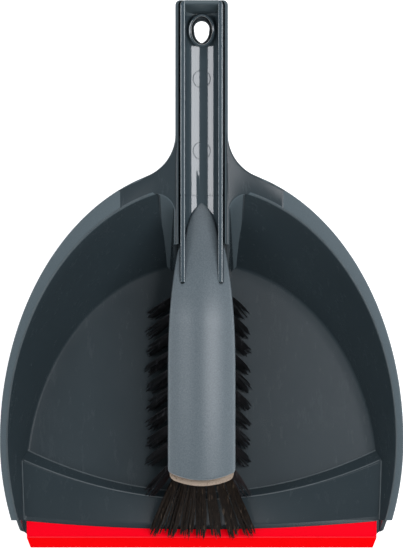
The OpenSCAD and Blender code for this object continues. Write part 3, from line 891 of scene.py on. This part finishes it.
def red_lip(finish):
    """The rubber lip: a groove in its back edge takes the pan's edge."""
    form = Form()
    chamfer = 2.3
    stations = [-LIP_HALF, -LIP_HALF + 0.6 * chamfer, -LIP_HALF + chamfer]
    stations += [mix(-LIP_HALF + chamfer, LIP_HALF - chamfer, i / 60) for i in range(1, 60)]
    stations += [-x for x in reversed(stations[:3])]
    groove = FLOOR_T + 0.1
    radii = [0.4, 0.2, 0.2, 0, 0, 0.2, 0.5, 0.5, 0.5, 0.45]
    rings = []
    for x in stations:
        cut = max(0, abs(x) - LIP_HALF + chamfer) / chamfer * (LIP_STEP_Y - 0.7)
        back = lip_edge(x)
        under = lip_high.y
        corners = [(cut, 0), (under, 0), (under, LIP_UNDER), (LIP_STEP_Y, LIP_UNDER)]
        corners += [(LIP_STEP_Y, groove), (back, groove), (back, LIP_T)]
        corners += [(LIP_STEP_Y + 0.7, LIP_T), (LIP_STEP_Y - 0.1, LIP_T - 0.7), (cut, 1.1)]
        ring = rounded([Vector(c) for c in corners], radii, 4)
        rings.append([(x, y, z) for y, z in ring])
    form.loft(rings)
    return dress(form.object("red_lip"), finish, "pan", ["lip_strip"], 40)


# ---- brush handle ----

TROUGH_END_Y = SET_LEN - 8.1
TROUGH_RISE = 4.5
END_RISE = 16 / 6
UNDER_Y = SET_LEN - 5.5
UNDER_RISE = 16 / 5.5
SEAM_Y = TIP_Y + 4
GRIP_HALF = grip_high.x
HOLE_HALF = (6.6, 9.0)
PIN_MARKS = (281, 238)
PIN_MARK_R = 5.2
# Slot for the end wall's finish, whose lighter colour is painted light.
END_WALL_LIGHT_SLOT = 1


def grip_ring(y, shrink, sink):
    """A section of the brush's handle: a round-bottomed channel with two rails."""
    half = GRIP_HALF - shrink - sink
    radius = min(TROUGH_R, half - 1.7) + sink
    floor = GRIP_FLOOR - sink
    end_floor = GRIP_FLOOR + max(0, y - TROUGH_END_Y) * END_RISE
    under = GRIP_Z + max(0, y - UNDER_Y) * UNDER_RISE
    top = RAIL_Z - sink
    bottom = min(under, top - 2.3)
    corners = [(0, bottom), (half, bottom), (half, top), (radius, top), (radius, top - 2)]
    radii = [0, min(8, (top - bottom) * 0.8), 0.8, 0.7, 0]
    outside = rounded([Vector(c) for c in corners], radii, 7, closed=False)
    inside = []
    for p in arc(0, 0, 1, 0, -90, 18):
        z = floor + TROUGH_RISE * (1 + p.y)
        inside.append(Vector((p.x * radius, min(max(z, end_floor), top - 0.4))))
    right = outside[1:-1] + inside
    ring = right + mirrored(right)[1:]
    return [(p.x, y, p.y) for p in ring]


def oval(a, b, z, steps=40):
    """An oval round the hanging hole's middle, at a height."""
    turn = [2 * math.pi * i / steps for i in range(steps)]
    return [(a * math.cos(t), HANG_Y + b * math.sin(t), z) for t in turn]


def trough_floor(x):
    """How high the trough's round bottom is."""
    return GRIP_FLOOR + TROUGH_RISE * (1 - math.sqrt(1 - (x / TROUGH_R) ** 2))


def ring_mark(form, y, radius):
    """A shallow raised ring on the trough's floor, as an ejector pin leaves."""
    rings = []
    width = 0.3
    for grow, lift in ((-width, -0.05), (-width / 3, 0.13), (width / 3, 0.13), (width, -0.05)):
        ring = []
        for i in range(48):
            turn = 2 * math.pi * i / 48
            x = (radius + grow) * math.cos(turn)
            ring.append((x, y + (radius + grow) * math.sin(turn), trough_floor(x) + lift))
        rings.append(ring)
    form.sheet(rings + rings[:1], closed=True)


def grip_shell():
    """The channel itself, with the seam near the cover's tongue and a rounded end, and its hole."""
    rings = []
    stations = [GRIP_Y + 0.05, 180, SEAM_Y - 0.35]
    rings += [grip_ring(y, 0, 0) for y in stations]
    rings += [grip_ring(y, 0.12, 0.16) for y in (SEAM_Y - 0.2, SEAM_Y + 0.2)]
    stations = [SEAM_Y + 0.35, 230, 260, 290, 305]
    stations += [mix(TROUGH_END_Y - 1.5, SET_LEN - END_R, i / 18) for i in range(19)]
    rings += [grip_ring(y, 0, 0) for y in stations]
    for k in range(1, 9):
        a = math.radians(88 * k / 8)
        rings.append(grip_ring(SET_LEN - END_R + END_R * math.sin(a), END_R * (1 - math.cos(a)), 0))
    form = Form()
    form.loft(rings)
    piece = form.object("grip")
    hole = Form()
    hole.loft([oval(*HOLE_HALF, GRIP_Z - 2), oval(*HOLE_HALF, GRIP_Z + 12)])
    carve(piece, hole)
    return piece


def hole_collar(form):
    """The raised oval ring round the hanging hole."""
    top = GRIP_FLOOR + 5.8
    low = GRIP_Z + 0.05
    inner_side = [(6.25, 8.5, low), (6.25, 8.5, top - 1.2), (6.5, 8.75, top - 0.35), (7.0, 9.1, top)]
    outer_side = [(7.6, 9.4, top), (8.1, 9.75, top - 0.4), (8.4, 10.0, top - 1.4)]
    outer_side += [(8.4, 10.0, GRIP_Z + 1.4), (8, 9.6, low)]
    collar = [oval(a, b, z) for a, b, z in inner_side + outer_side]
    form.sheet(collar + collar[:1], closed=True)


def end_bead(form):
    """The bright line where the trough meets its end wall."""
    line = []
    for i in range(33):
        x = mix(-TROUGH_R + 0.1, TROUGH_R - 0.1, i / 32)
        rise = trough_floor(x) - GRIP_FLOOR
        line.append(Vector((x, TROUGH_END_Y + rise / END_RISE, GRIP_FLOOR + rise)))
    for side, at in ((-1, 0), (1, len(line))):
        wall = [Vector((side * (TROUGH_R - 0.05), TROUGH_END_Y + rise / END_RISE, GRIP_FLOOR + rise))
            for rise in (13.5, 9, 5.5)]
        line[at:at] = wall if side < 0 else wall[::-1]
    bead(form, line, 0.22)


def brush_handle(finish, end_light_finish):
    """The brush's glossy handle, with a duller end wall whose colour is painted lighter as painted
    light.
    """
    extra = Form()
    hole_collar(extra)
    end_bead(extra)
    for y in PIN_MARKS:
        ring_mark(extra, y, PIN_MARK_R)
    whole = merge("brush_grip", [grip_shell(), extra.object("extra")])
    grip = dress(whole, finish, "brush", ["brush_handle"], 38)
    grip.data.materials.append(end_light_finish)
    for face in grip.data.polygons:
        middle = drawn(face.center)
        in_trough = abs(middle.x) < TROUGH_R + 0.3 and middle.z > GRIP_FLOOR + 0.3
        if in_trough and middle.y > TROUGH_END_Y - 1 and face.normal.y < 0.3:
            face.material_index = END_WALL_LIGHT_SLOT
    return grip


# ---- head cover ----


SLOT_X = 11.5
SLOT_R = 1.25
EDGE_R = 1.0
FILL_STEP = 1.6


def cover_half(y):
    """Half the cover's width, which narrows to the neck."""
    return mix(HEAD_HALF, NECK_HALF, clamp((y - (NECK_Y - 78)) / 78) ** 2.6)


def crown_at(y):
    """The cover's height along its middle."""
    rise = clamp((y - (NECK_Y - 44)) / (TIP_Y - NECK_Y + 44))
    fall = clamp((FRONT_Y + 49 - y) / 49)
    return mix(CROWN_Z, GRIP_FLOOR, rise ** 1.6) - FRONT_FALL * fall * fall


def cover_top(x, y):
    """The cover's height anywhere."""
    return crown_at(y) - SIDE_DROP * (x / HEAD_HALF) ** 2


def cover_outline():
    """The cover from above, anticlockwise: nose, side, flank, the rail's slot and the tongue."""
    turn = math.degrees(math.asin((HEAD_HALF - 3.4) / FRONT_R))
    nose = arc(0, FRONT_Y + FRONT_R, FRONT_R, -90, -90 + turn, 12)[1:]
    end = nose[-1]
    corner = [end, Vector((HEAD_HALF, end.y + 1.5)), Vector((HEAD_HALF, end.y + 7))]
    bend = rounded(corner, [0, 4, 0], 8, closed=False)
    side = []
    steps = 40
    y0 = end.y + 9
    for i in range(steps + 1):
        y = mix(y0, NECK_Y, i / steps)
        side.append(Vector((cover_half(y), y)))
    flank = [Vector((13.6, NECK_Y + 1.4)), Vector((SLOT_X + SLOT_R, NECK_Y + 1.8))]
    slot_y = GRIP_Y + 0.2
    slot = [Vector((SLOT_X + SLOT_R, mix(NECK_Y, slot_y, i / 6))) for i in range(1, 7)]
    slot += arc(SLOT_X, slot_y, SLOT_R, 0, -180, 8)[1:]
    slot += [Vector((SLOT_X - SLOT_R, mix(slot_y, NECK_Y - 2, i / 6))) for i in range(1, 7)]
    tongue = []
    for i in range(1, 19):
        t = i / 18
        y = mix(NECK_Y - 2, TIP_Y, math.sin(t * math.pi / 2))
        reach = (y - NECK_Y + 2) / (TIP_Y - NECK_Y + 2)
        tongue.append(Vector(((SLOT_X - SLOT_R) * (1 - reach ** 2.3) ** 0.72, y)))
    right = nose + bend[1:] + side + flank + slot + tongue
    right[-1].x = 0
    return right + [Vector((-p.x, p.y)) for p in reversed(right[:-1])] + [Vector((0, FRONT_Y))]


def is_within(point, outline):
    """Whether a point lies inside an outline."""
    hit = False
    for a, b in zip(outline, outline[1:] + outline[:1]):
        if (a.y > point.y) == (b.y > point.y):
            continue
        if point.x < (b.x - a.x) * (point.y - a.y) / (b.y - a.y) + a.x:
            hit = not hit
    return hit


def fill_spots(rim):
    """Points on a close grid inside an outline, clear of its corners."""
    spots = []
    y = FRONT_Y + 2.2
    while y < TIP_Y - 2:
        for i in range(-13, 14):
            spot = Vector((i * FILL_STEP * 0.95, y))
            if is_within(spot, rim) and min((spot - p).length for p in rim) > 0.7:
                spots.append(spot)
        y += FILL_STEP
    return spots


def head_cover(finish):
    """The crowned cover: a rounded edge round the outline, and an arched top filled with small faces."""
    outline = cover_outline()
    inward = normals_of(outline)
    form = Form()
    rows = [[(*p, max(GRIP_Z + 0.5, min(BASE_Z, cover_top(*p) - 3))) for p in outline]]
    for k in range(6):
        a = math.radians(90 * k / 5)
        inset = EDGE_R * (1 - math.cos(a))
        row = []
        for p, d in zip(outline, inward):
            q = p + d * inset
            row.append((*q, cover_top(*q) - EDGE_R * (1 - math.sin(a))))
        rows.append(row)
    starts = form.sheet(rows, closed=True)
    n = len(outline)
    form.faces.append(tuple(reversed(range(starts[0], starts[0] + n))))
    rim = [Vector(form.points[starts[-1] + j][:2]) for j in range(n)]
    edges = [(j, (j + 1) % n) for j in range(n)]
    flat, _, faces, *_ = delaunay_2d_cdt(rim + fill_spots(rim), edges, [], 1, 1e-5)
    number = [starts[-1] + j for j in range(n)]
    start = form.add([(p.x, p.y, cover_top(p.x, p.y)) for p in flat[n:]])
    number += [start + j for j in range(len(flat) - n)]
    form.faces += [tuple(number[j] for j in face) for face in faces]
    return dress(form.object("crowned_cover"), finish, "brush", ["head_cover"], 50)


# ---- bristles ----

PITCH = 11
ROW_X = HEAD_HALF - 5.7
FIRST_Y = FRONT_Y + 12
ROW_COUNT = 10
SCREW_ROWS = (2, 7)
FLOOR_CLEAR = 0.9


def lean_at(y):
    """How far a tuft leans forwards: most in the front rows."""
    return 13 + 21 * clamp((FIRST_Y + 7 - y) / 16.5) ** 1.2


def side_x(y):
    """How far out the outer rows start."""
    return min(ROW_X, cover_half(y) - 4.6)


def tuft(x, out, y):
    """A tuft's root and the middle of its tips."""
    return Vector((x, y, BLOCK_Z)), Vector((x + out, y - lean_at(y), FLOOR_T + FLOOR_CLEAR))


def ground(x, y):
    """How low a bristle may reach over the floor, the ridge and the lip."""
    if y > crest_back(x) + 3:
        return FLOOR_T + FLOOR_CLEAR
    if y > crest_y(x) - 3:
        return RIDGE_H + FLOOR_CLEAR
    slope = clamp((y - lip_edge(x)) / (crest_y(x) - lip_edge(x)))
    return max(LIP_T + FLOOR_CLEAR, mix(FLOOR_T, RIDGE_H, slope) + FLOOR_CLEAR + 0.6)


def strand(form, root, tip, bow, thick):
    """One bristle: a thin three-sided tube that bends on its way to the tip."""
    rings = []
    steps = 5
    across = Vector((0.6, 0.2, 0.1)).cross(tip - root).normalized()
    other = across.cross(tip - root).normalized()
    for i in range(steps + 1):
        t = i / steps
        mid = root.lerp(tip, t) + bow * (4 * t * (1 - t))
        low = ground(mid.x, mid.y)
        mid.z = max(mid.z, low)
        r = thick * (1 - 0.45 * t)
        ring = []
        for k in range(3):
            a = 2 * math.pi * k / 3
            ring.append(mid + across * (r * math.cos(a)) + other * (r * math.sin(a)))
        rings.append(ring)
    form.loft(rings)


def tuft_hair(form, dice, root, tip, wisps, hairs, splay, thick, flat=1.0):
    """A tuft: hairs from one round hole that part into wisps, each wisp with a tip of its own."""
    along = (tip - root).normalized()
    side = along.cross(Vector((0, 0, 1))).normalized()
    lift = side.cross(along).normalized()
    for w in range(wisps):
        turn = 2 * math.pi * (w + dice.uniform(-0.4, 0.4)) / wisps
        far = math.sqrt(dice.uniform(0.05, 1))
        spread = side * math.cos(turn) * far + lift * math.sin(turn) * far * flat
        wisp_tip = tip + spread * splay + along * (dice.gauss(0.9, 1.0) - 4.2 * far * far)
        for _ in range(hairs):
            a = dice.uniform(0, 2 * math.pi)
            r = math.sqrt(dice.random())
            own = side * math.cos(a) * r + lift * math.sin(a) * r
            start = root + spread * 1.2 + own * 0.7 - along
            wild = 2.6 if dice.random() < 0.07 else 1.0
            end = wisp_tip + own * 0.42 * wild + along * dice.gauss(-0.7, 1.2)
            bow = Vector((dice.gauss(0, 0.3), dice.gauss(0, 0.3), 1.1 + dice.gauss(0, 0.4)))
            strand(form, start, end, bow + spread * 0.7, thick * dice.uniform(0.8, 1.2))


def outer_row(side):
    """The row along one edge of the block, splayed outwards."""
    out = 17 if side < 0 else 12.6
    rows = [FIRST_Y + PITCH * k for k in range(ROW_COUNT)]
    return [tuft(side * side_x(y), side * out, y) for y in rows]


def inner_row(side):
    """The row between an outer row and the middle."""
    rows = [FIRST_Y + PITCH * (k + 0.5) for k in range(ROW_COUNT - 1)]
    return [tuft(side * ROW_X / 2, side * 8, y) for y in rows]


def centre_row():
    """The row along the middle, which leaves room for the screws."""
    rows = [FIRST_Y + PITCH * k for k in range(ROW_COUNT) if k not in SCREW_ROWS]
    return [tuft(0, 0, y) for y in rows]


def front_row():
    """The fan over the lip: clumps that spread sideways and reach forwards."""
    tufts = []
    for k in range(-3, 4):
        x = k * 4.6
        y = FRONT_Y + 1.6 + 0.3 * k * k
        tufts.append((Vector((x, y, BLOCK_Z)), Vector((x * 2.1, y - 35.5 - 0.2 * k * k, LIP_T + 1.4))))
    return tufts


def bristle_rows(side_fibre, front_fibre):
    """All the tufts: five rows, and the fan at the front."""
    rows = {
        "tufts_left_outer": (outer_row(-1), 10, 13),
        "tufts_left_inner": (inner_row(-1), 7, 8),
        "tufts_centre": (centre_row(), 7, 7),
        "tufts_right_inner": (inner_row(1), 7, 8),
        "tufts_right_outer": (outer_row(1), 10, 13),
    }
    for number, (node, (row, wisps, hairs)) in enumerate(rows.items()):
        dice = random.Random(100 + number)
        form = Form()
        for root, tip in row:
            tuft_hair(form, dice, root, tip, wisps, hairs, 3.7, 0.16, 0.9)
        dress(form.object("bristles_" + node[6:]), side_fibre, "brush", [node], 80)
    dice = random.Random(7)
    form = Form()
    for root, tip in front_row():
        tuft_hair(form, dice, root, tip, 12, 14, 3.9, 0.16, 0.5)
    dress(form.object("bristles_front"), front_fibre, "brush", ["tufts_front"], 80)


# ---- CAD pieces that keep their shape ----


def refinish(node, finish):
    """Gives a CAD node that keeps its shape its finish."""
    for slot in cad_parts[node].material_slots:
        slot.material = finish


# ---- studio ----


def lay_floor(finish):
    """A wide plain floor just under the pan."""
    mesh = bpy.data.meshes.new("studio_floor")
    work = bmesh.new()
    bmesh.ops.create_grid(work, x_segments=8, y_segments=8, size=6)
    work.to_mesh(mesh)
    work.free()
    floor = bpy.data.objects.new("studio_floor", mesh)
    floor.location.z = -0.0004
    bpy.context.scene.collection.objects.link(floor)
    mesh.materials.append(finish)


PANEL_DISTANCE = 1.3
PANEL_WHITE = (0.95, 0.96, 1.0)
WORLD_WHITE = (0.95, 0.97, 1.0, 1)
WORLD_STRENGTH = 0.14


def hang_panel(name, lean, turn, width, length, radiance, ahead=0.0):
    """A soft light that faces the set, leaning from upright and turned round it, in degrees.
    Its length is along its lean, its width across it."""
    light = bpy.data.lights.new(name, "AREA")
    light.shape = "RECTANGLE"
    light.size = width
    light.size_y = length
    light.energy = radiance * math.pi * width * length
    light.color = PANEL_WHITE
    lean, turn = math.radians(lean), math.radians(turn)
    spot = Vector((math.sin(lean) * math.cos(turn), math.sin(lean) * math.sin(turn), math.cos(lean)))
    spot *= PANEL_DISTANCE
    lamp = bpy.data.objects.new(name, light)
    lamp.location = spot + Vector((0, ahead, 0))
    lamp.rotation_euler = spot.to_track_quat("Z", "Y").to_euler()
    bpy.context.scene.collection.objects.link(lamp)


def light_studio():
    """Soft panels at the sides, in front and behind, and a dim even surround."""
    hang_panel("right_panel", 23.4, 0, 0.42, 0.74, 9, 0.07)
    hang_panel("left_panel", 34.8, 180, 0.2, 0.66, 8, 0.1)
    hang_panel("front_panel", 54, -90, 1.2, 0.3, 3)
    hang_panel("back_panel", 54, 90, 1.2, 0.3, 3)
    hang_panel("right_low_panel", 80, 0, 0.8, 0.26, 8)
    hang_panel("left_low_panel", 80, 180, 0.8, 0.26, 5)
    world = bpy.data.worlds.new("studio")
    world.use_nodes = True
    background = world.node_tree.nodes["Background"]
    background.inputs["Color"].default_value = WORLD_WHITE
    background.inputs["Strength"].default_value = WORLD_STRENGTH
    bpy.context.scene.world = world
    bpy.context.scene.view_settings.view_transform = "Standard"


def set_camera():
    """Straight down on the set from far off, with a long lens."""
    height = 12.0
    view_height = 0.3300
    lens = bpy.data.cameras.new("camera")
    lens.sensor_fit = "VERTICAL"
    lens.sensor_height = 24
    lens.lens = 24 * (height - RIM_H * MM) / view_height
    lens.clip_end = 40
    camera = bpy.data.objects.new("camera", lens)
    camera.location = (-0.0001, -0.0009, height)
    bpy.context.scene.collection.objects.link(camera)
    bpy.context.scene.camera = camera


set_camera()
light_studio()
lay_floor(pale_floor())
pan_moulding(pan_plastic(), rim_and_painted_sheen_plastic(), painted_edge_highlight())
red_lip(lip_rubber())
brush_handle(gloss_plastic(), end_wall_painted_light())
head_cover(cover_plastic())
black_fibre = bristle_fibre("black_fibre", tone(0.008, 0.008, 0.009), tone(0.030, 0.030, 0.033),
    tone(0.11, 0.11, 0.12), 0.25)
brown_fibre = bristle_fibre("brown_fibre", tone(0.005, 0.003, 0.002), tone(0.024, 0.015, 0.009),
    tone(0.10, 0.072, 0.05), 0.08)
bristle_rows(black_fibre, brown_fibre)
refinish("bristle_block", block_plastic())
steel = plain_steel()
refinish("block_screws", steel)
refinish("tuft_anchors", steel)
